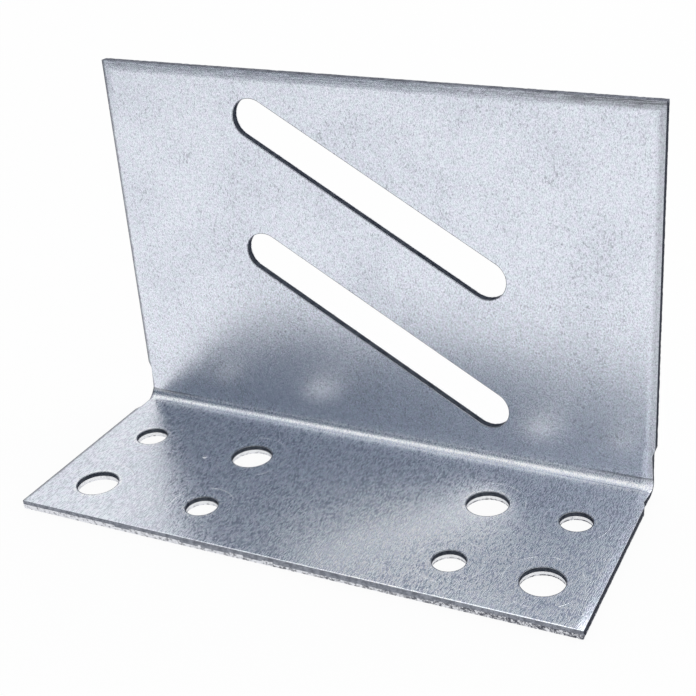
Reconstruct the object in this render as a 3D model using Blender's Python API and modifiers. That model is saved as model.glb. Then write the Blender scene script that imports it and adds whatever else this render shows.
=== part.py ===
"""Drywall connection angle: one galvanised steel sheet, sheared, punched and folded into an L.

The model follows the way the real angle is made. A flat blank is sheared to its outline, two
slanted slots and two groups of fixing holes are punched through it, and it is folded once.
All cuts are made from the same face, which ends up on the inside of the fold. So each cut edge
is rolled over on the inside, smooth below that, and broken off at a slant on the outside.

Units are metres, +Z up. The base lies on the ground and the upright stands along its back edge.
The origin is the centre of the footprint, at the underside of the base. +X runs along the fold
and +Y points to the back.
"""

import math

import bmesh
import bpy
from mathutils import Matrix, Vector

# Folded sheet
WIDTH = 0.1200
BASE_DEPTH = 0.0490
UPRIGHT_HEIGHT = 0.0817
SHEET = 0.0020
FOLD_RADIUS = 0.0020
NEUTRAL_SHARE = 0.44

# Swelling of the sheet at both ends of the fold, where its inside is squeezed together
FOLD_BULGE = 0.0005
BULGE_REACH = 0.0030
BULGE_OUTSIDE = -0.3

# Relief cut into both ends of the fold, measured from where the two inside faces would meet
RELIEF_DEPTH = 0.00055
RELIEF_ON_BASE = 0.0071
RELIEF_ON_UPRIGHT = 0.0086
RELIEF_RAMP = 0.0016

# Fixing holes in the base
OUTER_HOLE_MARGIN = 0.0110
LEFT_HOLE_PITCH = 0.0255
RIGHT_HOLE_PITCH = 0.0184
FRONT_ROW_MARGIN = 0.0106
ROW_PITCH = 0.0200
SMALL_HOLE = 0.0066
LARGE_HOLE = 0.0086

# Slanted slots in the upright
SLOT_WIDTH = 0.0085
SLOT_LENGTH = 0.0663
SLOT_SLOPE = math.radians(30.0)
LOWER_SLOT_HEIGHT = 0.0281
UPPER_SLOT_MARGIN = 0.0244

# Form of the cut edges, measured from the inside face
EDGE_ROLLOVER = 0.0022
EDGE_ROLLOVER_DEPTH = 0.00036
HOLE_ROLLOVER = 0.0002
HOLE_ROLLOVER_DEPTH = 0.00012
ROLLOVER_CURVE = 1.6
SMOOTH_CUT_DEPTH = 0.0010
BREAK_SLANT = 0.00014

# Fineness of the mesh
ROLLOVER_STEPS = 4
FOLD_STEPS = 10
HOLE_STEPS = 48
CUTTER_REACH = 0.0010

PART_NAME = "connection_angle"
SHEET_NAME = "angle_sheet"

BASE_FLAT = BASE_DEPTH - SHEET - FOLD_RADIUS
UPRIGHT_FLAT = UPRIGHT_HEIGHT - SHEET - FOLD_RADIUS
FOLD_LENGTH = math.pi / 2 * (FOLD_RADIUS + NEUTRAL_SHARE * SHEET)


def clear_scene():
    """Remove the objects that the scene starts with."""
    for item in list(bpy.data.objects):
        bpy.data.objects.remove(item, do_unlink=True)


def new_collection(name):
    """Return a new collection under the scene's own."""
    collection = bpy.data.collections.new(name)
    bpy.context.scene.collection.children.link(collection)
    return collection


def add_mesh_object(name, bm, collection):
    """Turn a bmesh into an object of the collection."""
    mesh = bpy.data.meshes.new(name)
    bm.to_mesh(mesh)
    bm.free()
    item = bpy.data.objects.new(name, mesh)
    collection.objects.link(item)
    return item


def galvanised_steel():
    """Zinc-coated sheet steel: pale, slightly blue, satin."""
    material = bpy.data.materials.new("galvanised_steel")
    material.use_nodes = True
    shader = material.node_tree.nodes["Principled BSDF"]
    shader.inputs["Base Color"].default_value = (0.62, 0.65, 0.70, 1.0)
    shader.inputs["Metallic"].default_value = 0.9
    shader.inputs["Roughness"].default_value = 0.42
    return material


def blank_outline():
    """Outline of the flat blank, anticlockwise from its front left corner.

    X is the width. Y is the developed length: 0 where the fold leaves the base, negative on the
    base and positive through the fold and up the upright.
    """
    edge = WIDTH / 2
    waist = edge - RELIEF_DEPTH
    relief_start = FOLD_RADIUS - RELIEF_ON_BASE
    relief_end = FOLD_LENGTH + RELIEF_ON_UPRIGHT - FOLD_RADIUS
    right = [
        (edge, -BASE_FLAT),
        (edge, relief_start),
        (waist, relief_start + RELIEF_RAMP),
        (waist, relief_end - RELIEF_RAMP),
        (edge, relief_end),
        (edge, FOLD_LENGTH + UPRIGHT_FLAT),
    ]
    left = [(-x, y) for x, y in reversed(right)]
    return right + left


def rollover(width, depth):
    """Points (set back from the cut, depth below the face) of a rolled-over edge, from the face down."""
    shares = [step / ROLLOVER_STEPS for step in range(ROLLOVER_STEPS + 1)]
    return [(width * (1.0 - share), depth * share ** ROLLOVER_CURVE) for share in shares]


def cut_across(bm, place, normal):
    """Cut all faces along a plane, without taking anything away."""
    whole = bm.verts[:] + bm.edges[:] + bm.faces[:]
    bmesh.ops.bisect_plane(bm, geom=whole, dist=0.0000001, plane_co=place, plane_no=normal)


def scribe(bm):
    """Cut the faces along lines through all holes and slots, so that no face has to go round a hole."""
    rows = {y for _, _, y, _ in hole_centres()} | {y for _, y in slot_centres()}
    for y in sorted(rows):
        cut_across(bm, (0.0, y, 0.0), (0.0, 1.0, 0.0))
    cut_across(bm, (0.0, 0.0, 0.0), (1.0, 0.0, 0.0))


def sheared_blank(collection):
    """Flat blank with sheared edges, its inside face up at Z = 0."""
    bm = bmesh.new()
    outline = [bm.verts.new((x, y, -EDGE_ROLLOVER_DEPTH)) for x, y in blank_outline()]
    inside = bm.faces.new(outline)
    lands = (SMOOTH_CUT_DEPTH - EDGE_ROLLOVER_DEPTH, SHEET - SMOOTH_CUT_DEPTH)
    outside = bmesh.ops.extrude_face_region(bm, geom=[inside], use_keep_orig=True)
    outside = [item for item in outside["geom"] if isinstance(item, bmesh.types.BMFace)][0]
    bmesh.ops.translate(bm, verts=outside.verts, vec=(0.0, 0.0, -lands[0]))
    bmesh.ops.reverse_faces(bm, faces=[outside])
    bmesh.ops.recalc_face_normals(bm, faces=bm.faces)
    bmesh.ops.inset_region(bm, faces=[outside], thickness=BREAK_SLANT, depth=lands[1], use_even_offset=True)

    steps = rollover(EDGE_ROLLOVER, EDGE_ROLLOVER_DEPTH)[::-1]
    for (near, low), (far, high) in zip(steps, steps[1:]):
        bmesh.ops.inset_region(bm, faces=[inside], thickness=far - near, depth=low - high,
                               use_even_offset=True)
    scribe(bm)
    return add_mesh_object("blank", bm, collection)


def punch_profile(radius):
    """Section of a punch from its axis at the top, down its outer side, to its axis below the sheet."""
    rim = [(radius + back, -depth) for back, depth in rollover(HOLE_ROLLOVER, HOLE_ROLLOVER_DEPTH)]
    lead = Vector(rim[0]) - Vector(rim[1])
    mouth = Vector(rim[0]) + lead * 0.2
    below = 0.2
    break_depth = SHEET - SMOOTH_CUT_DEPTH
    foot = (radius + BREAK_SLANT * (1.0 + below), -SHEET - break_depth * below)
    section = [(0.0, CUTTER_REACH), (mouth.x, CUTTER_REACH), tuple(mouth)]
    section += rim[1:]
    section += [(radius, -SMOOTH_CUT_DEPTH), foot, (foot[0], -SHEET - CUTTER_REACH)]
    section += [(0.0, -SHEET - CUTTER_REACH)]
    return section


def turned(name, section, steps, collection):
    """Object turned from a section in the XZ plane about Z, with the Screw modifier made real."""
    bm = bmesh.new()
    chain = [bm.verts.new((x, 0.0, z)) for x, z in section]
    for upper, lower in zip(chain, chain[1:]):
        bm.edges.new((upper, lower))
    profile = add_mesh_object(name + "_section", bm, collection)
    screw = profile.modifiers.new("turn", "SCREW")
    screw.axis = "Z"
    screw.steps = steps
    screw.render_steps = steps
    screw.use_merge_vertices = True
    screw.merge_threshold = 0.00001
    bpy.context.view_layer.update()
    mesh = bpy.data.meshes.new_from_object(profile.evaluated_get(bpy.context.evaluated_depsgraph_get()))
    bpy.data.objects.remove(profile, do_unlink=True)
    item = bpy.data.objects.new(name, mesh)
    collection.objects.link(item)
    return item


def punch(name, radius, collection, pull=0.0):
    """Cutter for a round hole, or for a slot where its two halves are pulled apart along X."""
    item = turned(name, punch_profile(radius), HOLE_STEPS, collection)
    item.data.transform(Matrix.Rotation(math.pi / HOLE_STEPS, 4, "Z"))
    for vertex in item.data.vertices:
        if abs(vertex.co.x) > radius * 0.01:
            vertex.co.x += math.copysign(pull / 2, vertex.co.x)
    item.hide_render = True
    item.display_type = "WIRE"
    return item


def hole_centres():
    """Yield (name, x, y, diameter) of each fixing hole on the blank.

    Every second hole along both rows is a large one, so each group has two of each on its diagonals.
    """
    front_row = FRONT_ROW_MARGIN - BASE_FLAT
    back_row = front_row + ROW_PITCH
    for side, sign, pitch in (("left", -1, LEFT_HOLE_PITCH), ("right", 1, RIGHT_HOLE_PITCH)):
        outer = sign * (WIDTH / 2 - OUTER_HOLE_MARGIN)
        inner = outer - sign * pitch
        yield f"punch_{side}_outer_back", outer, back_row, SMALL_HOLE
        yield f"punch_{side}_outer_front", outer, front_row, LARGE_HOLE
        yield f"punch_{side}_inner_back", inner, back_row, LARGE_HOLE
        yield f"punch_{side}_inner_front", inner, front_row, SMALL_HOLE


def slot_centres():
    """Yield (name, y) of the middle of each slot on the blank."""
    yield "punch_slot_lower", FOLD_LENGTH + LOWER_SLOT_HEIGHT - SHEET - FOLD_RADIUS
    yield "punch_slot_upper", FOLD_LENGTH + UPRIGHT_FLAT - UPPER_SLOT_MARGIN


def place_punches(collection):
    """Return all cutters, set over the blank."""
    punches = []
    for name, x, y, diameter in hole_centres():
        item = punch(name, diameter / 2, collection)
        item.location = (x, y, 0.0)
        punches.append(item)
    for name, y in slot_centres():
        item = punch(name, SLOT_WIDTH / 2, collection, pull=SLOT_LENGTH - SLOT_WIDTH)
        item.location = (0.0, y, 0.0)
        item.rotation_euler = (0.0, 0.0, -SLOT_SLOPE)
        punches.append(item)
    return punches


def punched(blank, punches):
    """Mesh of the blank with every punch driven through it."""
    for item in punches:
        cut = blank.modifiers.new(item.name, "BOOLEAN")
        cut.operation = "DIFFERENCE"
        cut.solver = "EXACT"
        cut.object = item
    bpy.context.view_layer.update()
    return bpy.data.meshes.new_from_object(blank.evaluated_get(bpy.context.evaluated_depsgraph_get()))


def swelling(point):
    """How far the fold pushes a point of the blank sideways: most at the ends, on the inside face."""
    inside = 1.0 + point.z / SHEET
    amount = BULGE_OUTSIDE + (1.0 - BULGE_OUTSIDE) * inside
    near = max(0.0, 1.0 - (WIDTH / 2 - abs(point.x)) / BULGE_REACH)
    along = math.sin(math.pi * point.y / FOLD_LENGTH)
    return math.copysign(FOLD_BULGE * amount * near * along, point.x)


def folded_point(point):
    """Place of a point of the flat blank after the fold."""
    centre_y = BASE_DEPTH / 2 - SHEET - FOLD_RADIUS
    centre_z = SHEET + FOLD_RADIUS
    reach = FOLD_RADIUS - point.z
    if point.y <= 0.0:
        return Vector((point.x, centre_y + point.y, centre_z - reach))
    if point.y >= FOLD_LENGTH:
        return Vector((point.x, centre_y + reach, centre_z + point.y - FOLD_LENGTH))
    angle = math.pi / 2 * point.y / FOLD_LENGTH
    x = point.x + swelling(point)
    return Vector((x, centre_y + reach * math.sin(angle), centre_z - reach * math.cos(angle)))


def fold(mesh):
    """Crease the flat mesh across the fold zone, then bend the upright up through a right angle."""
    bm = bmesh.new()
    bm.from_mesh(mesh)
    for step in range(FOLD_STEPS + 1):
        cut_across(bm, (0.0, FOLD_LENGTH * step / FOLD_STEPS, 0.0), (0.0, 1.0, 0.0))
    for vertex in bm.verts:
        vertex.co = folded_point(vertex.co)
    bm.normal_update()
    bmesh.ops.triangulate(bm, faces=bm.faces)
    bm.to_mesh(mesh)
    bm.free()


def build():
    """Shear, punch and fold the sheet."""
    clear_scene()
    part = new_collection(PART_NAME)
    tools = new_collection("punches")
    blank = sheared_blank(tools)
    mesh = punched(blank, place_punches(tools))
    bpy.data.objects.remove(blank, do_unlink=True)
    fold(mesh)
    mesh.materials.clear()
    mesh.materials.append(galvanised_steel())
    mesh.shade_smooth()
    mesh.set_sharp_from_angle(angle=math.radians(30.0))
    sheet = bpy.data.objects.new(SHEET_NAME, mesh)
    part.objects.link(sheet)


build()
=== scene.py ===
"""Looks of the drywall connection angle: a galvanised sheet, sheared, punched and folded once.

The sheet is modelled again here, finer than the solid that it stands for, and at the same sizes.
Units are metres. +X runs along the fold, +Y points to the back and +Z up the upright.
"""

import logging
import math
from collections.abc import Callable, Iterator
from contextlib import contextmanager
from dataclasses import dataclass
from enum import Enum

import bmesh
import bpy
from mathutils import Matrix, Vector


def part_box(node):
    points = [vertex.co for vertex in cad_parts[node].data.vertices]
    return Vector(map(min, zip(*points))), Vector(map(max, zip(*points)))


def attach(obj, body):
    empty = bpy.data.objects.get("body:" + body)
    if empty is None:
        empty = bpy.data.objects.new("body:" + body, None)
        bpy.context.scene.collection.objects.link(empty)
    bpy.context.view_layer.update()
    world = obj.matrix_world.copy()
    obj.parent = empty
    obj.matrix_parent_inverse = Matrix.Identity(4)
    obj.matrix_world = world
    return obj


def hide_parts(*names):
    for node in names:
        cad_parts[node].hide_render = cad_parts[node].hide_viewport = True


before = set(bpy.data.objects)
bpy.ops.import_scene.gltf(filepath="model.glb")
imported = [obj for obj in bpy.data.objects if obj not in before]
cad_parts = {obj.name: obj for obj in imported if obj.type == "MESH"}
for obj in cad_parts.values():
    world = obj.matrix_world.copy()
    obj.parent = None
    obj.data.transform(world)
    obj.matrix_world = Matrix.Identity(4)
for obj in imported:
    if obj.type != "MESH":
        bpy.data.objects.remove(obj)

LOG = logging.getLogger("connection_angle")
NODE = "angle_sheet"
BODY = "root"
TOUCH = 0.000002
FACING = 0.9

Colour = tuple[float, float, float, float]
Span = tuple[float, float]
Place = tuple[float, float, float]
Socket = bpy.types.NodeSocket
Piece = bpy.types.Object
WHITE = (1.0, 1.0, 1.0, 1.0)


class Surface(Enum):
    """The kinds of surface on the sheet, in the order of its material slots."""

    ZINC = 0
    SHEARED = 1
    # near-black burnished steel, painted shade on the hole walls and the cut ends
    CROPPED = 2
    BROKEN = 3
    SPLIT = 4


def focus(piece: Piece) -> None:
    """Make one object the only selected and the active one."""
    bpy.ops.object.select_all(action="DESELECT")
    piece.select_set(True)
    bpy.context.view_layer.objects.active = piece


@contextmanager
def editing(piece: Piece, kind: str) -> Iterator[None]:
    """Hold an object in edit mode with nothing selected.

    Args:
        piece: The object to edit.
        kind: What is selected in it: VERT, EDGE or FACE.
    """
    focus(piece)
    bpy.ops.object.mode_set(mode="EDIT")
    bpy.ops.mesh.select_mode(type=kind)
    bpy.ops.mesh.select_all(action="DESELECT")
    try:
        yield
    finally:
        bpy.ops.object.mode_set(mode="OBJECT")


def choose(piece: Piece, kind: str, read: Callable[..., tuple],
           wanted: Callable[..., bool]) -> int:
    """Select the parts of the edited mesh that a test picks.

    Args:
        piece: The object in edit mode.
        kind: Which parts: verts, edges or faces.
        read: Gives what the test needs to know of a part.
        wanted: The test.

    Returns:
        How many parts are selected.
    """
    mesh = bmesh.from_edit_mesh(piece.data)
    parts = getattr(mesh, kind)
    picked = [part for part in parts if wanted(*read(part))]
    for part in parts:
        part.select_set(False)
    for part in picked:
        part.select_set(True)
    bmesh.update_edit_mesh(piece.data)
    return len(picked)


def choose_faces(piece: Piece, wanted: Callable[[Vector, Vector], bool]) -> int:
    """Select the faces that a test of their centre and normal picks, and count them."""
    return choose(piece, "faces", lambda face: (face.calc_center_median(), face.normal), wanted)


def choose_edges(piece: Piece, wanted: Callable[[Vector, Vector], bool]) -> int:
    """Select the edges that a test of their two ends picks, and count them."""
    return choose(piece, "edges", lambda edge: (edge.verts[0].co, edge.verts[1].co), wanted)


def choose_points(piece: Piece, wanted: Callable[[Vector], bool]) -> int:
    """Select the vertices that a test of their place picks, and count them."""
    return choose(piece, "verts", lambda point: (point.co,), wanted)


def scale_points(piece: Piece, wanted: Callable[[Vector], bool], axis: int, level: float,
                 share: float) -> None:
    """Scale the vertices that a test picks, along one axis and towards a level on it."""
    value, centre = Vector((1.0, 1.0, 1.0)), Vector()
    value[axis], centre[axis] = share, level
    with editing(piece, "VERT"):
        if choose_points(piece, wanted):
            bpy.ops.transform.resize(value=value, center_override=centre)


def apply_modifier(piece: Piece, name: str) -> None:
    """Make a modifier of the object real."""
    focus(piece)
    bpy.ops.object.modifier_apply(modifier=name)


class NodeNet:
    """Short calls that add shader nodes to one material or world."""

    def __init__(self, owner: bpy.types.ID) -> None:
        """Start with an empty node tree in a material or world."""
        owner.use_nodes = True
        self.tree = owner.node_tree
        self.tree.nodes.clear()

    def add(self, kind: str, inputs: dict | None = None, **settings: object) -> bpy.types.Node:
        """Add a node.

        Args:
            kind: The node's type name.
            inputs: Values or output sockets for its input sockets, by name or number.
            **settings: Properties of the node.

        Returns:
            The new node.
        """
        node = self.tree.nodes.new(kind)
        for name, value in settings.items():
            setattr(node, name, value)
        for name, value in (inputs or {}).items():
            if isinstance(value, Socket):
                self.tree.links.new(value, node.inputs[name])
            else:
                node.inputs[name].default_value = value
        return node

    def locate(self) -> None:
        """Add the object coordinates, as the socket place and one by one as x, y and z."""
        self.place = self.add("ShaderNodeTexCoord").outputs["Object"]
        self.x, self.y, self.z = self.add("ShaderNodeSeparateXYZ", {0: self.place}).outputs

    def math(self, operation: str, *values: object) -> Socket:
        """Add a Math node and return its output."""
        return self.add("ShaderNodeMath", dict(enumerate(values)), operation=operation).outputs[0]

    def chain(self, operation: str, *values: object) -> Socket:
        """Join several numbers or sockets by one operation, from the first to the last."""
        result = values[0]
        for value in values[1:]:
            result = self.math(operation, result, value)
        return result

    def product(self, *values: object) -> Socket:
        """Multiply several numbers or sockets."""
        return self.chain("MULTIPLY", *values)

    def total(self, *values: object) -> Socket:
        """Add several numbers or sockets."""
        return self.chain("ADD", *values)

    def most(self, *values: object) -> Socket:
        """Take the largest of several numbers or sockets."""
        return self.chain("MAXIMUM", *values)

    def less(self, value: object, taken: object) -> Socket:
        """Take one number or socket away from another."""
        return self.math("SUBTRACT", value, taken)

    def rest(self, value: object) -> Socket:
        """Find what a value leaves of 1."""
        return self.total(self.product(value, -1.0), 1.0)

    def gap(self, value: object, centre: float) -> Socket:
        """Find how far a value is from a centre, on either side."""
        return self.math("ABSOLUTE", self.less(value, centre))

    def away(self, across: Socket, along: Socket, centre: Span) -> Socket:
        """Find the distance from a centre in the plane of two coordinates."""
        one = self.less(across, centre[0])
        two = self.less(along, centre[1])
        return self.math("SQRT", self.total(self.product(one, one), self.product(two, two)))

    def between(self, value: object, low: float, high: float, first: float = 0.0,
                last: float = 1.0) -> Socket:
        """Step a value smoothly: first at and below low, last at and above high."""
        node = self.add("ShaderNodeMapRange", {0: value, 1: low, 2: high, 3: first, 4: last},
                        interpolation_type="SMOOTHSTEP")
        return node.outputs[0]

    def until(self, value: object, low: float, high: float) -> Socket:
        """Smooth step of a value from 1 down to 0."""
        return self.between(value, low, high, 1.0, 0.0)

    def vector(self, x: object, y: object, z: object = 0.0) -> Socket:
        """Combine three numbers or sockets."""
        return self.add("ShaderNodeCombineXYZ", {0: x, 1: y, 2: z}).outputs[0]

    def noise(self, vector: Socket, scale: float, detail: float = 3.0, rough: float = 0.55) -> Socket:
        """Add a noise around 0.5: scale is its cells a metre, detail its octaves."""
        inputs = {"Vector": vector, "Scale": scale, "Detail": detail, "Roughness": rough}
        return self.add("ShaderNodeTexNoise", inputs).outputs[0]

    def blend(self, share: object, first: object, second: object, mode: str = "MIX") -> Socket:
        """Mix two colours: share is how much of the second one shows."""
        node = self.add("ShaderNodeMix", {0: share, 6: first, 7: second},
                        data_type="RGBA", blend_type=mode)
        return node.outputs[2]

    def finish(self, colour: Socket, roughness: Socket, metallic: float, height: Socket, depth: float,
               strength: float = 1.0, grazing: Colour = WHITE) -> None:
        """End the tree with a metal, bumped by a height of so many metres."""
        bump = self.add("ShaderNodeBump", {"Strength": strength, "Distance": depth, "Height": height})
        shader = self.add("ShaderNodeBsdfPrincipled", {
            "Base Color": colour, "Roughness": roughness, "Metallic": metallic,
            "Specular Tint": grazing, "Normal": bump.outputs[0]})
        self.add("ShaderNodeOutputMaterial", {0: shader.outputs[0]})


@dataclass(frozen=True)
class SheetSizes:
    """Sizes of the folded sheet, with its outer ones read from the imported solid."""

    low: Vector
    high: Vector
    thickness: float = 0.0020
    fold_radius: float = 0.0020
    fold_bulge: float = 0.0005
    bulge_reach: float = 0.0030
    edge_rollover: float = 0.0022
    slope_depth: float = 0.00026
    corner: float = 0.00010
    rollover_curve: float = 1.3
    base_front_rim: float = 0.08
    base_end_rim: float = 0.75
    base_rim_depth: float = 0.32
    hole_rollover: float = 0.00011
    hole_rollover_depth: float = 0.00006
    smooth_cut_depth: float = 0.0010
    break_slant: float = 0.00002
    tear: float = 0.00007
    hole_slant: float = 0.00014
    relief_depth: float = 0.00055
    relief_on_base: float = 0.0071
    relief_on_upright: float = 0.0086
    relief_ramp: float = 0.0016
    foot_steps: tuple[float, ...] = (0.35, 0.7, 1.0)

    @property
    def rollover_depth(self) -> float:
        """Depth below the inside face at which the outer cut walls begin."""
        return self.slope_depth + self.corner

    @property
    def half_width(self) -> float:
        """Half the sheet's width."""
        return (self.high.x - self.low.x) / 2

    @property
    def waist(self) -> float:
        """Half the sheet's width between the relief cuts."""
        return self.half_width - self.relief_depth

    @property
    def torn_depth(self) -> float:
        """How much of a cut wall's height is broken out."""
        return self.thickness - self.smooth_cut_depth

    @property
    def inner_y(self) -> float:
        """Y of the upright's inside face."""
        return self.high.y - self.thickness

    @property
    def inner_z(self) -> float:
        """Z of the base's inside face."""
        return self.low.z + self.thickness

    @property
    def fold_y(self) -> float:
        """Y of the fold's centre line."""
        return self.inner_y - self.fold_radius

    @property
    def fold_z(self) -> float:
        """Z of the fold's centre line."""
        return self.inner_z + self.fold_radius

    def inward(self, point: Vector) -> Vector:
        """Direction from the sheet at this point to the inside of the angle."""
        if point.y <= self.fold_y:
            return Vector((0.0, 0.0, 1.0))
        if point.z >= self.fold_z:
            return Vector((0.0, -1.0, 0.0))
        return Vector((0.0, self.fold_y - point.y, self.fold_z - point.z)).normalized()

    def depth(self, point: Vector) -> float:
        """How far a point lies below the sheet's inside face."""
        if point.y <= self.fold_y:
            return self.inner_z - point.z
        if point.z >= self.fold_z:
            return point.y - self.inner_y
        return math.hypot(point.y - self.fold_y, point.z - self.fold_z) - self.fold_radius


@dataclass(frozen=True)
class Hole:
    """One opening punched through the sheet, round or pulled out to a slot."""

    name: str
    centre: Vector
    width: float
    length: float = 0.0
    slope: float = 0.0
    in_upright: bool = False

    @property
    def matrix(self) -> Matrix:
        """Place of the punch: its own Z points to the side that it comes from."""
        turn = Matrix.Rotation(-self.slope, 4, "Z")
        if self.in_upright:
            turn = Matrix.Rotation(math.pi / 2, 4, "X") @ turn
        return Matrix.Translation(self.centre) @ turn


@dataclass(frozen=True)
class ZincFinish:
    """Zinc coating of a rolled sheet: satin, grained, speckled, darker along its cut edges, and with painted
    light and shade.

    A pair of numbers is the start and the end of a smooth step, in metres or in a noise's value.
    """

    sizes: SheetSizes
    holes: list[Hole]
    colour: Colour = (0.785, 0.82, 0.90, 1.0)
    dull_colour: Colour = (0.74, 0.775, 0.855, 1.0)
    speck_colour: Colour = (0.20, 0.205, 0.23, 1.0)
    lilac: Colour = (1.012, 0.988, 1.015, 1.0)
    teal: Colour = (0.978, 1.008, 0.992, 1.0)
    nib_colour: Colour = (0.97, 0.98, 1.0, 1.0)
    roughness: float = 0.21
    cloud_roughness: float = 0.06
    hair_roughness: float = 0.12
    upright_roughness: float = 0.02
    upright_calm: float = 0.8
    upright_low: float = 0.5
    metallic: float = 0.95
    base_level: float = 1.04
    # painted shade: the upright is drawn a little darker than the base
    upright_shade: float = 0.06
    brightest: float = 1.15
    base_contrast: float = 0.50
    upright_contrast: float = 1.5
    bump_depth: float = 0.0001
    hair_height: float = 0.16
    ring_height: float = 0.35
    cloud_height: float = 0.25
    nib_height: float = 2.0

    cloud_scale: float = 75.0
    dull_clouds: Span = (0.35, 0.75)
    blotch_scale: float = 800.0
    blotches: Span = (0.40, 0.60)
    hair_scale: float = 5200.0
    hair_stretch: float = 0.21
    hairs: Span = (0.36, 0.64)
    grain_scale: float = 4300.0
    grain_stretch: float = 0.6
    dash_scale: float = 3000.0
    dash_stretch: float = 0.5
    specks: Span = (0.73, 0.80)
    speck_depth: float = 0.42
    cloud_specks: float = 0.22
    smudge_specks: float = 0.16
    smudges: tuple[Place, ...] = (
        (-0.0418, 0.0626, 0.0022), (-0.0401, 0.0505, 0.0020), (-0.0150, 0.0749, 0.0016),
        (0.0169, 0.0558, 0.0018), (0.0375, 0.0646, 0.0020), (0.0550, 0.0805, 0.0016))

    upright_rise: Span = (0.003, 0.006)
    inner_side: Span = (0.0008, 0.0016)
    # painted shadow line at the hole edges and painted highlight round it
    shadow_line: Span = (0.00014, 0.00028)
    painted_edge_depth: float = 0.35
    glint_light: float = 0.35
    glint_start: Span = (0.000196, 0.000336)
    glint_end: Span = (0.0006, 0.0010)
    ring_gap: float = 0.0033
    ring_width: float = 0.00018
    ring_scale: float = 210.0
    ring_arcs: Span = (0.46, 0.60)
    # light tint of the ring arcs, a painted highlight of their grooves
    ring_light: float = 0.7
    nib: Span = (-0.0330, 0.0025)
    nib_size: Span = (0.0002, 0.0006)

    # painted shade in the fold near both of its ends
    crease_depth: float = 0.55
    crease_drop: float = 0.0001
    crease_shade: float = 0.0010
    crease_ends: Span = (0.040, 0.054)
    foot_crease_shift: float = 0.0002
    foot_crease_width: float = 0.00018
    foot_crease_depth: float = 0.8
    foot_crease_end: Span = (0.030, 0.050)

    darkening: float = 0.38
    rim_shift: float = 0.0006
    rim_back: Span = (0.0229, 0.0238)
    left_rim: Span = (0.0006, 0.0008)
    left_line: Span = (0.0003, 0.0005)
    left_line_depth: float = 0.7
    right_rim: Span = (0.0007, 0.0018)
    right_rise: Span = (0.001, 0.006)
    right_depths: Span = (0.28, 0.75)
    top_rim: Span = (0.0014, 0.0019)
    top_fade: Span = (0.0003, 0.0016)
    top_right: Span = (0.018, 0.056)
    top_right_depth: float = 1.2
    streak_scale: float = 3200.0
    streak_stretch: float = 0.06
    streaks: Span = (0.42, 0.56)
    streak_depth: float = 0.75

    fold_start: Span = (0.0186, 0.0212)
    fold_top: Span = (0.0023, 0.0030)
    fold_run: Span = (-0.05, 0.05)
    # painted highlight along the fold
    fold_highlight_levels: Span = (0.10, 0.25)
    fold_contrast: float = 0.3
    # painted sheen of reflected light on the front middle of the base
    sheen_run: Span = (-0.015, 0.018)
    sheen_back: Span = (-0.008, 0.010)
    sheen_light: float = 0.15

    def hole_marks(self, net: NodeNet) -> tuple[Socket, Socket]:
        """Marks round the holes of the base: witness arcs, and painted light and shade at the holes' edges.

        Returns:
            Witness arcs of the stripper plate, drawn light as a painted highlight of their grooves, and a
            painted shadow line at each hole's edge (1) with a painted highlight round it (below 0).
        """
        rings: object = 0.0
        painted_hole_edges: object = 0.0
        glints: object = 0.0
        for hole in self.holes:
            if not hole.in_upright:
                off = net.less(net.away(net.x, net.y, hole.centre.xy), hole.width / 2)
                glint = net.between(off, *self.glint_start)
                glint = net.product(glint, net.until(off, *self.glint_end))
                painted_hole_edges = net.most(painted_hole_edges, net.until(off, *self.shadow_line))
                glints = net.most(glints, glint)
                rings = net.most(rings, net.until(net.gap(off, self.ring_gap), 0.0, self.ring_width))
        arcs = net.between(net.noise(net.place, self.ring_scale, 1.0), *self.ring_arcs)
        return net.product(rings, arcs), net.total(painted_hole_edges, net.product(glints, -self.glint_light))

    def fold_shade(self, net: NodeNet) -> Socket:
        """Painted shade near both ends of the fold: a dark line that shades down into the fold, and a thin
        dark line lower in it.
        """
        line = self.sizes.fold_z - self.crease_drop
        above = net.product(net.between(net.z, line - self.crease_shade, line),
                            net.until(net.z, line, line + self.crease_drop),
                            net.between(net.gap(net.x, 0.0), *self.crease_ends))
        off = net.gap(net.y, self.sizes.fold_y + self.foot_crease_shift)
        below = net.product(net.between(off, 0.0, self.foot_crease_width, self.foot_crease_depth, 0.0),
                            net.between(net.x, *self.foot_crease_end))
        return net.most(above, below)

    def speck_marks(self, net: NodeNet, cloud: Socket) -> Socket:
        """Dark specks in the grain, denser in the clouds and where dirt sits on the upright."""
        smudge: object = 0.0
        for across, height, reach in self.smudges:
            away = net.away(net.x, net.z, (across, height))
            smudge = net.most(smudge, net.until(away, 0.0, reach))
        dash = net.vector(net.x, net.product(net.z, self.dash_stretch), net.y)
        speck = net.total(net.noise(dash, self.dash_scale, 1.0), net.product(cloud, self.cloud_specks),
                          net.product(smudge, self.smudge_specks))
        return net.between(speck, *self.specks)

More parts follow.
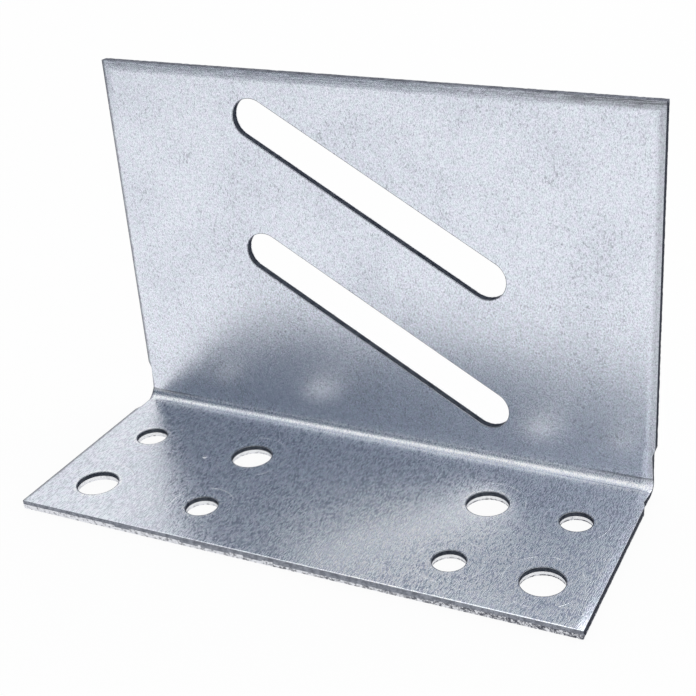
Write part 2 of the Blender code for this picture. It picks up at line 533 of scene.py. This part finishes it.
    def darker_rims(self, net: NodeNet, ragged: Socket) -> Socket:
        """Darker bands along the cut ends and the cut top of the inside face, with ragged borders."""
        edge = self.sizes.half_width
        shift = net.product(net.less(ragged, 0.5), self.rim_shift)
        from_left = net.total(net.x, edge, shift)
        from_right = net.total(net.product(net.x, -1.0), edge, shift)
        from_top = net.total(net.product(net.z, -1.0), self.sizes.high.z, net.product(shift, 0.5))
        left = net.total(net.until(from_left, *self.left_rim),
                         net.between(from_left, *self.left_line, self.left_line_depth, 0.0))
        right = net.product(net.until(from_right, *self.right_rim),
                            net.between(net.z, *self.right_rise, *self.right_depths))
        top = net.product(net.until(from_top, *self.top_rim),
                          net.between(from_top, *self.top_fade, 1.0, 0.5))
        streak = net.vector(net.product(net.x, self.streak_stretch), net.z)
        streak = net.between(net.noise(streak, self.streak_scale, 2.0), *self.streaks,
                             0.0, self.streak_depth)
        to_right = net.product(net.between(net.x, *self.top_right), self.top_right_depth)
        edge_dark = net.most(left, right, net.product(top, net.total(streak, to_right)))
        return net.product(edge_dark, net.until(net.y, *self.rim_back))

    def lightness(self, net: NodeNet, upright: Socket, hair: Socket, cloud: Socket) -> Socket:
        """Find how light the zinc is, by its grain, a painted highlight along the fold, painted shade on the
        upright and a painted sheen on the base.
        """
        grain = net.vector(net.x, net.product(net.z, self.grain_stretch), net.y)
        grain = net.noise(grain, self.grain_scale, 2.0, 0.7)
        on_base = net.product(net.less(hair, 0.5), self.base_contrast)
        on_upright = net.product(net.less(grain, 0.5), self.upright_contrast)
        texture = net.total(on_base, net.product(upright, net.less(on_upright, on_base)))
        fold = net.product(net.between(net.y, *self.fold_start), net.until(net.z, *self.fold_top))
        texture = net.product(texture, net.total(net.product(fold, self.fold_contrast), 1.0))
        # painted shade: the upright a little darker than the base
        level = net.total(net.product(upright, -self.upright_shade), self.base_level)
        plain = net.math("MINIMUM", net.total(texture, level), self.brightest)
        # painted highlight along the fold, stronger to the right
        fold_highlight = net.product(fold, net.between(net.x, *self.fold_run, *self.fold_highlight_levels))
        # painted sheen of reflected light on the front middle of the base
        painted_sheen = net.product(net.between(net.x, *self.sheen_run), net.until(net.y, *self.sheen_back),
                           net.rest(upright), net.total(cloud, 0.5))
        return net.total(plain, fold_highlight, net.product(painted_sheen, self.sheen_light))

    def material(self) -> bpy.types.Material:
        """Build the coating's material."""
        material = bpy.data.materials.new("zinc_coating")
        net = NodeNet(material)
        net.locate()
        upright = net.between(net.z, *self.upright_rise)
        hair = net.vector(net.x, net.product(net.y, self.hair_stretch), net.z)
        hair = net.between(net.noise(hair, self.hair_scale, 1.0, 0.5), *self.hairs)
        cloud = net.noise(net.place, self.cloud_scale, 4.0)
        blotch = net.noise(net.place, self.blotch_scale, 2.0)
        inner_side = net.between(net.z, *self.inner_side)
        rings, painted_hole_edges = (net.product(mark, inner_side) for mark in self.hole_marks(net))
        nib = net.until(net.away(net.x, net.y, self.nib), *self.nib_size)
        nib = net.product(nib, net.rest(upright))

        colour = net.blend(net.between(cloud, *self.dull_clouds), self.colour, self.dull_colour)
        tint = net.blend(net.between(blotch, *self.blotches), self.lilac, self.teal)
        colour = net.blend(1.0, colour, tint, "MULTIPLY")
        # darker rims, and the painted shadow line and painted highlight at the hole edges
        darkening = net.total(net.product(self.darker_rims(net, blotch), -self.darkening),
                           net.product(painted_hole_edges, -self.painted_edge_depth), 1.0)
        # painted shade in the fold
        fold_shaded = net.total(net.product(self.fold_shade(net), -self.crease_depth), 1.0)
        factor = net.product(self.lightness(net, upright, hair, cloud), darkening, fold_shaded)
        colour = net.blend(1.0, colour, factor, "MULTIPLY")
        speck = net.product(self.speck_marks(net, cloud), self.speck_depth)
        colour = net.blend(speck, colour, self.speck_colour)
        # near-white nib, and the ring arcs lit by a painted highlight
        light = net.most(nib, net.product(rings, self.ring_light))
        colour = net.blend(light, colour, self.nib_colour)

        calmed = net.total(net.product(upright, -self.upright_calm), 1.0)
        streaked = net.product(net.less(hair, 0.5), calmed)
        roughness = net.total(net.product(cloud, self.cloud_roughness),
                              net.product(streaked, self.hair_roughness),
                              net.product(upright, self.upright_roughness), self.roughness)
        lowered = net.total(net.product(upright, -self.upright_low), 1.0)
        height = net.total(net.product(hair, lowered, self.hair_height),
                           net.product(rings, self.ring_height),
                           net.product(cloud, self.cloud_height), net.product(nib, self.nib_height))
        net.finish(colour, roughness, self.metallic, height, self.bump_depth)
        return material


@dataclass(frozen=True)
class CutSteelFinish:
    """Bare steel of a sheared or punched wall."""

    name: str
    colour: Colour
    light_colour: Colour
    relief: float
    grain: float
    spread: Span = (0.38, 0.62)
    roughness: float = 0.34
    drift: float = 0.0
    grazing: Colour = (0.35, 0.35, 0.38, 1.0)
    metallic: float = 0.9

    def material(self) -> bpy.types.Material:
        """Build the material of the cut wall."""
        material = bpy.data.materials.new(self.name)
        net = NodeNet(material)
        net.locate()
        coarse = net.noise(net.place, self.grain, 4.0, 0.65)
        fine = net.noise(net.place, self.grain * 4.0, 3.0)
        share = net.total(net.product(coarse, 0.7), net.product(fine, 0.3),
                          net.product(net.x, -self.drift))
        share = net.between(share, *self.spread)
        colour = net.blend(share, self.colour, self.light_colour)
        roughness = net.total(net.product(share, 0.12), self.roughness)
        height = net.total(coarse, net.product(fine, 0.4))
        net.finish(colour, roughness, self.metallic, height, self.relief, 0.6, self.grazing)
        return material


@dataclass
class Punch:
    """Tool that cuts one opening, shaped so that it leaves a rolled-over rim and a broken-out foot."""

    sizes: SheetSizes
    hole: Hole
    sides: int = 96
    rim_steps: int = 5
    reach: float = 0.0010
    rim_overshoot: float = 1.4
    foot_overshoot: float = 0.3
    torn_from: float = 1.05
    tear: float = 0.00005

    def widened(self, rise: float, radius: float, grown: float) -> None:
        """Pull the selected cap on along Z by a rise, and widen it from one radius to another."""
        bpy.ops.mesh.extrude_region_move(TRANSFORM_OT_translate={"value": (0.0, 0.0, rise)})
        share = grown / radius
        bpy.ops.transform.resize(value=(share, share, 1.0), center_override=(0.0, 0.0, 0.0))

    def shape(self) -> Piece:
        """Model the punch round the origin, with the sheet's inside face at Z = 0."""
        sizes = self.sizes
        radius = self.hole.width / 2
        land = sizes.smooth_cut_depth - sizes.hole_rollover_depth
        middle = -(sizes.smooth_cut_depth + sizes.hole_rollover_depth) / 2
        bpy.ops.mesh.primitive_cylinder_add(vertices=self.sides, radius=radius, depth=land,
                                            location=(0.0, 0.0, middle),
                                            rotation=(0.0, 0.0, math.pi / self.sides))
        piece = bpy.context.object
        piece.name = "punch_" + self.hole.name
        bpy.ops.object.transform_apply(location=True, rotation=True, scale=True)
        with editing(piece, "FACE"):
            choose_faces(piece, lambda centre, normal: normal.z > FACING)
            depth = sizes.hole_rollover_depth
            width = radius
            for step in range(self.rim_steps - 1, -1, -1):
                angle = math.pi / 2 * step / self.rim_steps
                upper = sizes.hole_rollover_depth * (1.0 - math.cos(angle))
                wider = radius + sizes.hole_rollover * (1.0 - math.sin(angle))
                rise = depth - upper
                growth = wider - width
                if step == 0:
                    rise *= self.rim_overshoot
                    growth *= self.rim_overshoot
                self.widened(rise, width, width + growth)
                depth -= rise
                width += growth
            self.widened(self.reach, width, width)
            choose_faces(piece, lambda centre, normal: normal.z < -FACING)
            drop = sizes.torn_depth
            width = radius
            done = 0.0
            for share in sizes.foot_steps:
                wider = radius + sizes.hole_slant * share
                self.widened(-drop * (share - done), width, wider)
                width = wider
                done = share
            wider = width + sizes.hole_slant * self.foot_overshoot
            self.widened(-drop * self.foot_overshoot, width, wider)
            self.widened(-self.reach, width, width)
        with editing(piece, "VERT"):
            start, end = (-depth * self.torn_from for depth in (sizes.smooth_cut_depth, sizes.thickness))
            choose_points(piece, lambda point: end < point.z < start)
            bpy.ops.transform.vertex_random(offset=self.tear, uniform=0.0, normal=0.0, seed=len(piece.name))
        if self.hole.length:
            pull = (self.hole.length - self.hole.width) / 2
            for side in (-1.0, 1.0):
                with editing(piece, "VERT"):
                    choose_points(piece, lambda point: point.x * side > TOUCH)
                    bpy.ops.transform.translate(value=(side * pull, 0.0, 0.0))
        piece.matrix_world = self.hole.matrix
        return piece


@dataclass
class FoldedSheet:
    """The angle itself: one sheet, sheared, folded and punched."""

    sizes: SheetSizes
    holes: list[Hole]
    cut_finishes: tuple[CutSteelFinish, ...] = (
        CutSteelFinish("sheared_steel", (0.155, 0.165, 0.195, 1.0), (0.33, 0.35, 0.40, 1.0), 0.00004, 900.0),
        # the second finish is burnished steel darkened to near black as painted shade of the hole walls and
        # the cut ends
        CutSteelFinish("cropped_steel", (0.025, 0.03, 0.042, 1.0), (0.07, 0.08, 0.10, 1.0), 0.00004, 900.0),
        CutSteelFinish("broken_steel", (0.10, 0.105, 0.13, 1.0), (0.92, 0.93, 0.97, 1.0), 0.0001, 1500.0,
                       (0.40, 0.54), 0.44, 1.1),
        CutSteelFinish("split_steel", (0.50, 0.52, 0.56, 1.0), (0.97, 0.98, 1.0, 1.0), 0.00005, 900.0,
                       (0.34, 0.46), 0.44))
    fold_steps: int = 24
    corner_steps: int = 3
    slope_steps: int = 9
    edge_pitch: float = 0.0005
    cut_group: int = 10
    slope_spacing: float = 1.4
    wall_reach: float = 0.0004
    fold_clearance: float = 0.0003
    wall_tilt: float = 0.8
    bare_from: float = 0.9
    bare_from_at_ends: float = 1.08
    peak_reach: float = 1.3
    least_tear: float = 0.5
    foot_share: float = 0.2
    tear_seed: int = 5
    border_drift: float = 60.0
    border_waves: Span = (310.0, 830.0)
    border_drop: float = -1.2
    border_end: float = 0.032
    crease_angle: float = math.radians(38.0)

    def inside_skin(self) -> Piece:
        """Model the inside of the angle as an open skin, at the level where the cut walls begin."""
        sizes = self.sizes
        level = sizes.inner_z - sizes.rollover_depth
        length = sizes.fold_y - sizes.low.y
        bpy.ops.mesh.primitive_plane_add(size=1.0, location=(0.0, sizes.fold_y - length / 2, level))
        skin = bpy.context.object
        skin.name = "folded_sheet"
        skin.scale = (sizes.half_width * 2, length, 1.0)
        bpy.ops.object.transform_apply(location=True, rotation=True, scale=True)
        back = sizes.fold_y - TOUCH
        with editing(skin, "EDGE"):
            choose_edges(skin, lambda one, two: one.y > back and two.y > back)
            bpy.ops.mesh.spin(steps=self.fold_steps, angle=-math.pi / 2, use_normal_flip=False,
                              center=(0.0, sizes.fold_y, sizes.fold_z), axis=(1.0, 0.0, 0.0))
            bpy.ops.mesh.select_all(action="DESELECT")
            choose_edges(skin, lambda one, two: min(one.z, two.z) > sizes.fold_z - TOUCH)
            rise = sizes.high.z - sizes.fold_z
            bpy.ops.mesh.extrude_region_move(TRANSFORM_OT_translate={"value": (0.0, 0.0, rise)})
            bpy.ops.mesh.select_all(action="SELECT")
            bpy.ops.mesh.remove_doubles(threshold=TOUCH)
            bpy.ops.mesh.normals_make_consistent(inside=False)
        with editing(skin, "FACE"):
            if choose_faces(skin, lambda centre, normal: normal.dot(sizes.inward(centre)) < 0):
                bpy.ops.mesh.select_all(action="SELECT")
                bpy.ops.mesh.flip_normals()
        return skin

    def cut_relief(self, skin: Piece) -> None:
        """Waist the skin at both ends of the fold."""
        sizes = self.sizes
        start, end = sizes.inner_y - sizes.relief_on_base, sizes.inner_z + sizes.relief_on_upright
        on_base = (start, start + sizes.relief_ramp)
        on_upright = (end, end - sizes.relief_ramp)
        cuts = [Vector((0.0, y, 0.0)) for y in on_base] + [Vector((0.0, 0.0, z)) for z in on_upright]
        with editing(skin, "EDGE"):
            for cut in cuts:
                bpy.ops.mesh.select_all(action="SELECT")
                bpy.ops.mesh.bisect(plane_co=cut, plane_no=cut.normalized())
        for side in (-1.0, 1.0):
            with editing(skin, "VERT"):
                choose_points(skin, lambda point: point.x * side > 0 and point.y > on_base[1] - TOUCH
                              and point.z < on_upright[1] + TOUCH)
                bpy.ops.transform.translate(value=(-side * sizes.relief_depth, 0.0, 0.0))

    def rim_profile(self) -> list[tuple[float, float]]:
        """List the rolled-over rim's section from the cut inwards: (set back from the cut, depth)."""
        sizes = self.sizes
        points = []
        for step in range(self.corner_steps):
            angle = math.pi / 2 * step / self.corner_steps
            depth = sizes.slope_depth + sizes.corner * (1.0 - math.sin(angle))
            points.append((sizes.corner * (1.0 - math.cos(angle)), depth))
        for step in range(self.slope_steps + 1):
            back = (step / self.slope_steps) ** self.slope_spacing
            depth = sizes.slope_depth * (1.0 - back) ** sizes.rollover_curve
            points.append((sizes.corner + (sizes.edge_rollover - sizes.corner) * back, depth))
        return points

    def thicken(self, sheet: Piece) -> None:
        """Give the skin its thickness, its rolled-over inside rim and its slanted outside rim."""
        sizes = self.sizes
        solid = sheet.modifiers.new("land", "SOLIDIFY")
        solid.thickness = sizes.smooth_cut_depth - sizes.rollover_depth
        solid.offset = -1.0
        solid.use_even_offset = True
        apply_modifier(sheet, "land")
        with editing(sheet, "FACE"):
            choose_faces(sheet, lambda centre, normal: normal.dot(sizes.inward(centre)) > FACING)
            rim = self.rim_profile()
            for (near, low), (far, high) in zip(rim, rim[1:]):
                bpy.ops.mesh.inset(thickness=far - near, depth=low - high, use_boundary=True,
                                   use_even_offset=True)
            choose_faces(sheet, lambda centre, normal: normal.dot(sizes.inward(centre)) < -FACING)
            done = 0.0
            for share in sizes.foot_steps:
                part = share - done
                bpy.ops.mesh.inset(thickness=sizes.break_slant * part, depth=sizes.torn_depth * part,
                                   use_boundary=True, use_even_offset=True)
                done = share

    def narrow_base_rim(self, sheet: Piece, at_ends: bool) -> None:
        """Draw the rolled-over rim of the base in towards its cut walls, where it is tighter than above.

        Args:
            sheet: The folded sheet.
            at_ends: True for both ends of the base, False for its front edge and the depth of its rim.
        """
        sizes = self.sizes
        rim = sizes.edge_rollover + TOUCH
        on_ramp = sizes.inner_y - sizes.relief_on_base + sizes.relief_ramp / 2
        end = sizes.fold_y - self.fold_clearance

        def near_face(point: Vector) -> bool:
            """Tell whether a point lies on the base's inside face or its rim."""
            return point.y < end and sizes.depth(point) < sizes.rollover_depth + TOUCH

        if not at_ends:
            scale_points(sheet, lambda point: near_face(point) and point.y < sizes.low.y + rim,
                         1, sizes.low.y, sizes.base_front_rim)
            scale_points(sheet, near_face, 2, sizes.inner_z, sizes.base_rim_depth)
            return
        for side in (-1.0, 1.0):
            for edge, behind in ((sizes.half_width, False), (sizes.waist, True)):
                scale_points(sheet, lambda point: near_face(point) and (point.y > on_ramp) == behind
                             and point.x * side > edge - rim, 0, side * edge, sizes.base_end_rim)

    def wall_of(self, point: Vector) -> str:
        """Name the outer cut wall that a point lies on, or give an empty text."""
        sizes = self.sizes
        if point.y < sizes.low.y + self.wall_reach:
            return "front"
        if point.z > sizes.high.z - self.wall_reach:
            return "top"
        if abs(point.x) > sizes.waist - self.wall_reach:
            return "left" if point.x < 0 else "right"
        return ""

    def divisions(self, one: Vector, two: Vector) -> tuple[str, int]:
        """Name the wall of an edge between two points, and count its cuts: 0 off the torn foot."""
        sizes = self.sizes
        depths = sizes.depth(one), sizes.depth(two)
        wall = self.wall_of((one + two) / 2)
        level = abs(depths[0] - depths[1]) < TOUCH and min(depths) > sizes.smooth_cut_depth - TOUCH
        if not wall or not level:
            return "", 0
        return wall, round((one - two).length / self.edge_pitch / self.cut_group) * self.cut_group

    def divide_foot(self, sheet: Piece) -> None:
        """Divide the long edges of the torn foot, one wall after another."""
        mesh = bmesh.new()
        mesh.from_mesh(sheet.data)
        found = {self.divisions(edge.verts[0].co, edge.verts[1].co) for edge in mesh.edges}
        mesh.free()
        for wall, cuts in sorted(found):
            if cuts:
                with editing(sheet, "EDGE"):
                    choose_edges(sheet, lambda one, two: self.divisions(one, two) == (wall, cuts))
                    bpy.ops.mesh.subdivide(number_cuts=cuts)

    def on_flat(self, point: Vector) -> bool:
        """Tell whether a point belongs to the base or the upright, clear of the fold."""
        return point.y < self.sizes.fold_y - TOUCH or point.z > self.sizes.fold_z + TOUCH

    def tear_foot(self, sheet: Piece) -> None:
        """Make the torn part of the outer cut walls uneven."""
        sizes = self.sizes
        for number, share in enumerate((0.0, *sizes.foot_steps)):
            level = sizes.smooth_cut_depth + sizes.torn_depth * share
            tear = sizes.tear * max(share, self.least_tear)
            with editing(sheet, "VERT"):
                choose_points(sheet, lambda point: abs(sizes.depth(point) - level) < TOUCH
                              and bool(self.wall_of(point)) and self.on_flat(point))
                bpy.ops.transform.vertex_random(offset=tear, uniform=0.0, normal=0.0,
                                                seed=self.tear_seed + number)

    def press_flat(self, sheet: Piece) -> None:
        """Press torn points back into the planes of the outline and of the sheet's outside face."""
        sizes = self.sizes
        edge = sizes.half_width
        outside = sizes.thickness - sizes.torn_depth * self.foot_share
        planes = (
            (0, edge, lambda point: point.x > edge),
            (0, -edge, lambda point: point.x < -edge),
            (1, sizes.low.y, lambda point: point.y < sizes.low.y),
            (2, sizes.high.z, lambda point: point.z > sizes.high.z),
            (2, sizes.low.z, lambda point: point.y < sizes.fold_y and sizes.depth(point) > outside),
            (1, sizes.high.y, lambda point: point.z > sizes.fold_z and sizes.depth(point) > outside),
        )
        for axis, level, picked in planes:
            scale_points(sheet, picked, axis, level, 0.0)

    def scribe(self, sheet: Piece) -> None:
        """Cut the faces along lines through all openings, so that no face has to go round a hole."""
        lines = {("X", 0.0)}
        for hole in self.holes:
            lines.add(("Z", hole.centre.z) if hole.in_upright else ("Y", hole.centre.y))
        reach = {"X": lambda centre, facing: True,
                 "Y": lambda centre, facing: centre.y < self.sizes.fold_y,
                 "Z": lambda centre, facing: centre.z > self.sizes.fold_z}
        for axis, value in sorted(lines):
            normal = Vector([float(axis == name) for name in "XYZ"])
            with editing(sheet, "FACE"):
                choose_faces(sheet, reach[axis])
                bpy.ops.mesh.bisect(plane_co=normal * value, plane_no=normal)

    def swell_fold(self, sheet: Piece) -> None:
        """Pull the inside rim of the fold out at both of its ends, where folding squeezes it together."""
        sizes = self.sizes
        slant = Vector((0.0, 1.0, -1.0)).normalized()
        middle = Vector((0.0, sizes.fold_y, sizes.fold_z)) + slant * sizes.fold_radius
        reach = sizes.rollover_depth * self.peak_reach
        for side in (-1.0, 1.0):
            peak = Vector((side * sizes.waist, middle.y, middle.z))
            with editing(sheet, "VERT"):
                choose_points(sheet, lambda point: (point - peak).length < reach)
                bpy.ops.transform.translate(value=(side * sizes.fold_bulge, 0.0, 0.0),
                                            use_proportional_edit=True, proportional_edit_falloff="SMOOTH",
                                            proportional_size=sizes.bulge_reach)

    def punch(self, sheet: Piece) -> None:
        """Drive all punches through the sheet in one stroke."""
        tools = [Punch(self.sizes, hole).shape() for hole in self.holes]
        focus(tools[0])
        for tool in tools:
            tool.select_set(True)
        bpy.ops.object.join()
        cut = sheet.modifiers.new("punched", "BOOLEAN")
        cut.operation = "DIFFERENCE"
        cut.solver = "MANIFOLD"
        cut.object = tools[0]
        apply_modifier(sheet, "punched")
        bpy.data.objects.remove(tools[0], do_unlink=True)
        LOG.info("punched %d openings", len(self.holes))

    def cut_surface(self, centre: Vector) -> Surface:
        """Find the surface of a cut wall at a place on it."""
        sizes = self.sizes
        wall = self.wall_of(centre)
        depth = sizes.depth(centre)
        in_upright = centre.z > sizes.fold_z
        rings = [sizes.smooth_cut_depth + sizes.torn_depth * share for share in sizes.foot_steps]
        if wall == "top":
            return Surface.SHEARED
        if wall == "front":
            long, short = (math.sin(wave * centre.x) for wave in self.border_waves)
            ragged = self.border_drift * centre.x + long + short
            low = ragged > self.border_drop and centre.x < self.border_end
            border = rings[0] if low else sizes.smooth_cut_depth
            return Surface.SHEARED if depth < border else Surface.BROKEN
        if wall:
            return Surface.CROPPED if in_upright or depth < rings[1] else Surface.BROKEN
        if in_upright:
            return Surface.CROPPED if depth < rings[1] else Surface.SPLIT
        if depth < sizes.smooth_cut_depth:
            return Surface.CROPPED
        return Surface.SPLIT if depth < rings[1] else Surface.BROKEN

    def dress(self, sheet: Piece) -> None:
        """Give each face its finish: zinc on the two faces of the sheet, bare steel on the cut walls."""
        sizes = self.sizes
        sheet.data.materials.clear()
        for finish in (ZincFinish(sizes, self.holes), *self.cut_finishes):
            sheet.data.materials.append(finish.material())
        for face in sheet.data.polygons:
            facing = abs(face.normal.dot(sizes.inward(face.center)))
            depth = sizes.depth(face.center)
            wall = self.wall_of(face.center)
            start = (sizes.rollover_depth if wall else sizes.hole_rollover_depth) * self.bare_from
            if wall in ("left", "right"):
                start = sizes.slope_depth * self.bare_from_at_ends
            surface = Surface.ZINC
            if facing < self.wall_tilt and depth > start:
                surface = self.cut_surface(face.center)
            face.material_index = surface.value

    def smooth(self, sheet: Piece) -> None:
        """Shade the rolled rims and the fold smooth, and keep the flat faces flat."""
        focus(sheet)
        bpy.ops.object.shade_smooth_by_angle(angle=self.crease_angle)
        weigh = sheet.modifiers.new("weighted_normals", "WEIGHTED_NORMAL")
        weigh.keep_sharp = True
        weigh.weight = 100
        apply_modifier(sheet, "weighted_normals")

    def build(self) -> None:
        """Make the sheet and put it in the place of its solid."""
        sheet = self.inside_skin()
        self.cut_relief(sheet)
        self.thicken(sheet)
        self.narrow_base_rim(sheet, at_ends=False)
        self.scribe(sheet)
        self.punch(sheet)
        self.narrow_base_rim(sheet, at_ends=True)
        self.swell_fold(sheet)
        self.divide_foot(sheet)
        self.tear_foot(sheet)
        self.press_flat(sheet)
        self.dress(sheet)
        self.smooth(sheet)
        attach(sheet, BODY)
        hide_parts(NODE)
        LOG.info("%s has %d faces", sheet.name, len(sheet.data.polygons))


@dataclass
class Studio:
    """Floor, surrounding light and camera."""

    camera_place: Place = (0.11252, -0.19588, 0.14818)
    azimuth: float = math.radians(24.615)
    elevation: float = math.radians(25.660)
    roll: float = math.radians(-2.881)
    lens: float = 67.529
    sensor: float = 36.0
    shift: Span = (-0.11726, -0.04326)
    floor_size: float = 8.0
    floor_front: float = -0.55
    floor_gap: float = 0.00005
    floor_colour: Colour = (0.9, 0.9, 0.9, 1.0)
    floor_white: float = 0.93
    dark_side: Place = (-0.571, -0.731, 0.375)
    dark_reach: Span = (math.radians(40.0), math.radians(12.0))
    dark_colour: Colour = (0.058, 0.090, 0.138, 1.0)
    white_colour: Colour = (0.95, 0.95, 0.95, 1.0)
    back_colour: Colour = (0.86, 0.86, 0.865, 1.0)
    back_step: Span = (0.1, 0.5)
    lamp_place: Place = (0.2, 0.6, 1.2)
    lamp_aim: Place = (0.0, 0.0, 0.03)
    lamp_size: float = 1.1
    lamp_power: float = 3.2

    def floor_material(self) -> bpy.types.Material:
        """Build a white that still takes a soft shadow."""
        material = bpy.data.materials.new("white_floor")
        net = NodeNet(material)
        rays = net.add("ShaderNodeLightPath").outputs
        seen = net.most(rays["Is Camera Ray"], rays["Is Glossy Ray"], rays["Is Transmission Ray"])
        white = net.product(seen, self.floor_white)
        matt = net.add("ShaderNodeBsdfDiffuse", {"Color": self.floor_colour})
        glow = net.add("ShaderNodeEmission", {"Color": WHITE, "Strength": 1.0})
        mixed = net.add("ShaderNodeMixShader", {0: white, 1: matt.outputs[0], 2: glow.outputs[0]})
        net.add("ShaderNodeOutputMaterial", {0: mixed.outputs[0]})
        return material

    def floor(self) -> None:
        """Lay the floor just under the angle."""
        middle = self.floor_front + self.floor_size / 2
        bpy.ops.mesh.primitive_plane_add(size=self.floor_size, location=(0.0, middle, -self.floor_gap))
        floor = bpy.context.object
        floor.name = "floor"
        floor.data.materials.append(self.floor_material())

    def surroundings(self) -> None:
        """White all round, darker on the side that the picture is taken from."""
        world = bpy.data.worlds.new("studio")
        bpy.context.scene.world = world
        net = NodeNet(world)
        direction = net.add("ShaderNodeTexCoord").outputs["Generated"]
        dark_side = Vector(self.dark_side).normalized()
        dark = net.add("ShaderNodeVectorMath", {0: direction, 1: dark_side}, operation="DOT_PRODUCT")
        outer, inner = (math.cos(angle) for angle in self.dark_reach)
        share = net.between(dark.outputs["Value"], outer, inner)
        to_back = net.add("ShaderNodeSeparateXYZ", {0: direction}).outputs[1]
        back = net.between(to_back, *self.back_step)
        colour = net.blend(share, net.blend(back, self.white_colour, self.back_colour), self.dark_colour)
        seen = net.add("ShaderNodeLightPath").outputs["Is Camera Ray"]
        colour = net.blend(seen, colour, WHITE)
        light = net.add("ShaderNodeBackground", {"Color": colour, "Strength": 1.0})
        net.add("ShaderNodeOutputWorld", {0: light.outputs[0]})

    def lamp(self) -> None:
        """Hang the soft square lamp."""
        bpy.ops.object.light_add(type="AREA", location=self.lamp_place)
        lamp = bpy.context.object
        lamp.name = "key_light"
        lamp.data.size = self.lamp_size
        lamp.data.energy = self.lamp_power
        ahead = Vector(self.lamp_aim) - Vector(self.lamp_place)
        lamp.rotation_euler = ahead.to_track_quat("-Z", "Y").to_euler()

    def camera(self) -> None:
        """Set the camera at the picture's place, with its framing."""
        data = bpy.data.cameras.new("camera")
        data.sensor_width = self.sensor
        data.lens = self.lens
        data.shift_x, data.shift_y = self.shift
        data.clip_start = 0.01
        camera = bpy.data.objects.new("camera", data)
        bpy.context.scene.collection.objects.link(camera)
        side, rise = math.cos(self.elevation), math.sin(self.elevation)
        ahead = Vector((-math.sin(self.azimuth) * side, math.cos(self.azimuth) * side, -rise))
        turn = ahead.to_track_quat("-Z", "Y").to_matrix() @ Matrix.Rotation(self.roll, 3, "Z")
        camera.matrix_world = Matrix.Translation(Vector(self.camera_place)) @ turn.to_4x4()
        bpy.context.scene.camera = camera

    def build(self) -> None:
        """Make the whole studio."""
        bpy.context.scene.view_settings.view_transform = "Standard"
        self.camera()
        self.floor()
        self.surroundings()
        self.lamp()
        LOG.info("studio is set")


def holes_of_angle(sizes: SheetSizes) -> list[Hole]:
    """List the openings of the angle.

    Args:
        sizes: The sheet's sizes, which place the holes from its ends.

    Returns:
        Eight round holes in the base and two slots in the upright.
    """
    outer_margin = 0.0110
    pitches = {-1: 0.0255, 1: 0.0184}
    front_margin = 0.0106
    row_pitch = 0.0200
    small, large = 0.0066, 0.0086
    slot_heights = {"slot_lower": 0.0281, "slot_upper": 0.0573}
    slot_width, slot_length, slot_slope = 0.0085, 0.0663, math.radians(30.0)
    holes = []
    for side, pitch in pitches.items():
        for column in range(2):
            x = side * (sizes.half_width - outer_margin - pitch * column)
            for row in range(2):
                y = sizes.low.y + front_margin + row_pitch * row
                width = large if (column + row) % 2 == 0 else small
                name = f"hole_{'left' if side < 0 else 'right'}_{column}_{row}"
                holes.append(Hole(name, Vector((x, y, sizes.inner_z)), width))
    for name, height in slot_heights.items():
        centre = Vector((0.0, sizes.inner_y, height))
        holes.append(Hole(name, centre, slot_width, slot_length, slot_slope, True))
    return holes


def main() -> None:
    """Build the angle and its studio."""
    logging.basicConfig(level=logging.INFO, format="%(message)s")
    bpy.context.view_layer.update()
    sizes = SheetSizes(*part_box(NODE))
    FoldedSheet(sizes, holes_of_angle(sizes)).build()
    Studio().build()


if __name__ == "__main__":
    main()
